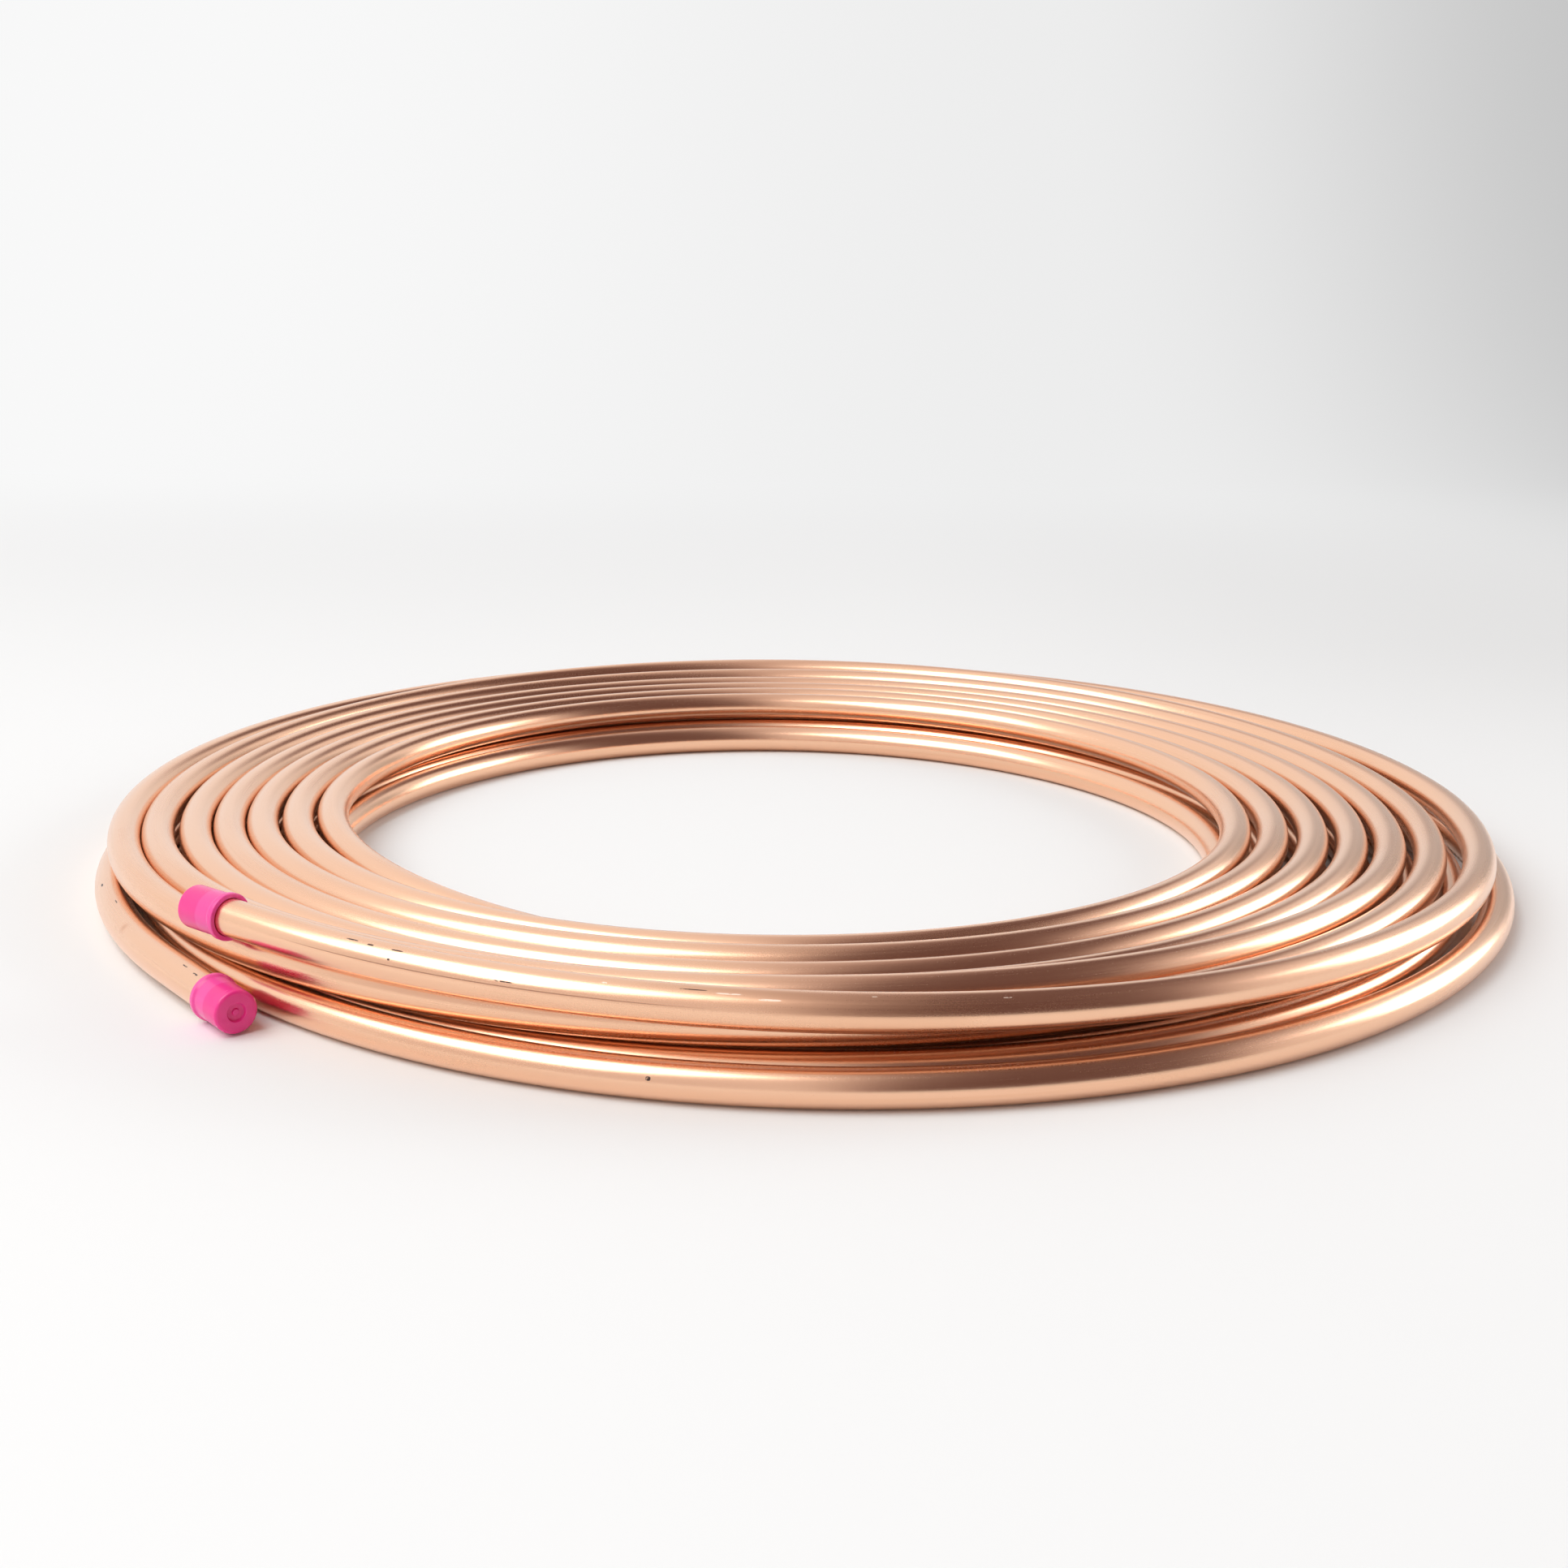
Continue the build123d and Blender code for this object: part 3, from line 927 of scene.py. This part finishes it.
def make_world():
    """Pale surroundings by direction, with a dark part from the camera's right, over the coil, to the back.

    The darker a part is, the warmer it is: green and blue are powers of red.
    """
    world = bpy.data.worlds.new("Studio")
    world.use_nodes = True
    bpy.context.scene.world = world
    sh = Shader(world.node_tree)
    x, y, _ = sh.split(sh.node("ShaderNodeTexCoord", out=0))
    slanted = (x + y * DARK_RIGHT_SLANT).step(*DARK_RIGHT_EDGE)
    dark = x.step(*DARK_LEFT_EDGE) * slanted * y.step(*DARK_BACK_EDGE)
    front_left = y.step(*FRONT_EDGE) * x.step(*LEFT_EDGE)
    level = WORLD_LEVEL - x.step(*RIGHT_EDGE) * RIGHT_DROP - front_left * FRONT_LEFT_DROP
    level = level * (1.0 - dark) + dark * DARK_LEVEL
    tone = sh.combine(level, level ** GREEN_POWER, level ** BLUE_POWER)
    light = sh.node("ShaderNodeBackground", inputs={"Color": tone, "Strength": 1.0})
    sh.output(light, "ShaderNodeOutputWorld")


# Sizes of the floor and its curved back, in metres
SWEEP_HALF_WIDTH = 2.6
SWEEP_FRONT = -2.6
SWEEP_BACK = 1.1
SWEEP_RADIUS = 0.9
SWEEP_TOP = 1.0
COVE_CORNERS = 33
# The floor's tone and its share of red, and the painted shade that darkens its back right
FLOOR_TONE = 0.87
FLOOR_RED = 0.97
FLOOR_SHADE_RIGHT_EDGE = (0.0, 0.45)
FLOOR_SHADE_BACK_EDGE = (-0.1, 0.4)
FLOOR_SHADE_DROP = 0.14
# The wall's glow, painted light in place of lamps on it, and where and by how much painted shade darkens it
# towards the right
WALL_GLOW = 0.94
WALL_SHADE_DROPS = (((-0.7, 0.45), 0.1), ((0.3, 1.0), 0.28), ((0.9, 1.7), 0.2))
# Depths over which the floor turns into the wall
WALL_EDGE = (0.2, 1.1)


def make_sweep():
    """Floor that curves up into a back wall: a line, a quarter circle and a line, carried across."""
    angle = np.linspace(0.0, math.pi / 2, COVE_CORNERS)
    cove_y = SWEEP_BACK + SWEEP_RADIUS * np.sin(angle)
    cove_z = SWEEP_RADIUS * (1 - np.cos(angle))
    y = np.concatenate([[SWEEP_FRONT], cove_y, [SWEEP_BACK + SWEEP_RADIUS]])
    z = np.concatenate([[0.0], cove_z, [SWEEP_TOP]])
    left = np.column_stack([np.full(len(y), -SWEEP_HALF_WIDTH), y, z])
    right = left * np.array([-1.0, 1.0, 1.0])
    points = np.concatenate([left, right])
    i = np.arange(len(y) - 1)
    faces = np.stack([i, i + len(y), i + len(y) + 1, i + 1], axis=1)
    sweep = make_piece("Sweep", points, faces.tolist())
    sweep.data.materials.append(sweep_material())


def sweep_material():
    """Matt white floor, with painted shade at its back right, that turns into a wall behind the coil which
    glows evenly in place of being lit, greyer towards its right as painted shade.
    """
    material, sh = new_material("Pale sweep")
    x, y, _ = sh.split(sh.node("ShaderNodeTexCoord", out=3))
    # Painted shade: the floor's colour is made darker towards its back right
    painted_shade_back_right = x.step(*FLOOR_SHADE_RIGHT_EDGE) * y.step(*FLOOR_SHADE_BACK_EDGE)
    shaded_floor_level = FLOOR_TONE * (1.0 - painted_shade_back_right * FLOOR_SHADE_DROP)
    shaded_floor_tone = sh.combine(shaded_floor_level * FLOOR_RED, shaded_floor_level, shaded_floor_level)
    # Painted light and shade: the wall glows instead of being lit, and its glow drops towards the right
    wall_glow_level = WALL_GLOW
    for edge, drop in WALL_SHADE_DROPS:
        wall_glow_level = wall_glow_level - x.step(*edge) * drop
    wall_glow_tone = sh.combine(wall_glow_level, wall_glow_level, wall_glow_level)
    floor = sh.node("ShaderNodeBsdfDiffuse", inputs={"Color": shaded_floor_tone})
    wall = sh.node("ShaderNodeEmission", inputs={"Color": wall_glow_tone, "Strength": 1.0})
    sh.output(sh.node("ShaderNodeMixShader", inputs={0: y.step(*WALL_EDGE), 1: floor, 2: wall}))
    return material


# Operators

class COPPERCOIL_OT_tube(bpy.types.Operator):
    """Winds the copper tube and gives it its drawn finish."""

    bl_idname = "copper_coil.tube"
    bl_label = "Copper Tube"

    def execute(self, context):
        scene = context.scene
        tube = scene.copper_coil_tube
        path = tube_path()
        points, faces, uv = tube_mesh(path, tube)
        piece = make_piece("CopperTube", points, faces, uv)
        piece.data.materials.append(copper_material(path.length, tube.diameter / 2, scene.copper_coil_finish))
        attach(piece, BODY)
        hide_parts(TUBE_NODE)
        return {"FINISHED"}


class COPPERCOIL_OT_caps(bpy.types.Operator):
    """Turns a pink cap for each end of the tube."""

    bl_idname = "copper_coil.caps"
    bl_label = "End Caps"

    def execute(self, context):
        scene = context.scene
        path = tube_path()
        profile = cap_profile(scene.copper_coil_tube, scene.copper_coil_cap)
        material = cap_material(scene.copper_coil_cap)
        ends = [
            ("UpperCap", UPPER_CAP_NODE, path.points[0], -path.ways[0]),
            ("LowerCap", LOWER_CAP_NODE, path.points[-1], path.ways[-1]),
        ]
        for name, node, origin, axis in ends:
            points, faces, heights = cap_mesh(profile, origin, axis)
            piece = make_piece(name, points, faces)
            past_tube = piece.data.attributes.new(PAST_TUBE, "FLOAT", "POINT")
            past_tube.data.foreach_set("value", heights.astype(np.float32))
            piece.data.materials.append(material)
            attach(piece, BODY)
            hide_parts(node)
        return {"FINISHED"}


class COPPERCOIL_OT_stage(bpy.types.Operator):
    """Lays the pale floor and places the lamps and the camera."""

    bl_idname = "copper_coil.stage"
    bl_label = "Studio Stage"

    def execute(self, context):
        context.scene.view_settings.view_transform = "Standard"
        make_sweep()
        make_world()
        for softbox in SOFTBOXES:
            make_softbox(*softbox)
        make_camera()
        return {"FINISHED"}


class COPPERCOIL_PT_panel(bpy.types.Panel):
    """Lists the steps that build the coil."""

    bl_label = "Copper Coil"
    bl_idname = "COPPERCOIL_PT_panel"
    bl_space_type = "VIEW_3D"
    bl_region_type = "UI"
    bl_category = "Copper Coil"

    def draw(self, context):
        for operator in OPERATORS:
            self.layout.operator(operator.bl_idname)


SETTINGS = {
    "copper_coil_tube": TubeSettings,
    "copper_coil_cap": CapSettings,
    "copper_coil_finish": FinishSettings,
}
OPERATORS = (COPPERCOIL_OT_tube, COPPERCOIL_OT_caps, COPPERCOIL_OT_stage)
CLASSES = (*SETTINGS.values(), *OPERATORS, COPPERCOIL_PT_panel)


def register():
    for cls in CLASSES:
        bpy.utils.register_class(cls)
    for name, cls in SETTINGS.items():
        setattr(bpy.types.Scene, name, bpy.props.PointerProperty(type=cls))


def unregister():
    for name in SETTINGS:
        delattr(bpy.types.Scene, name)
    for cls in reversed(CLASSES):
        bpy.utils.unregister_class(cls)


def main():
    register()
    bpy.ops.copper_coil.tube()
    bpy.ops.copper_coil.caps()
    bpy.ops.copper_coil.stage()


if __name__ == "__main__":
    main()
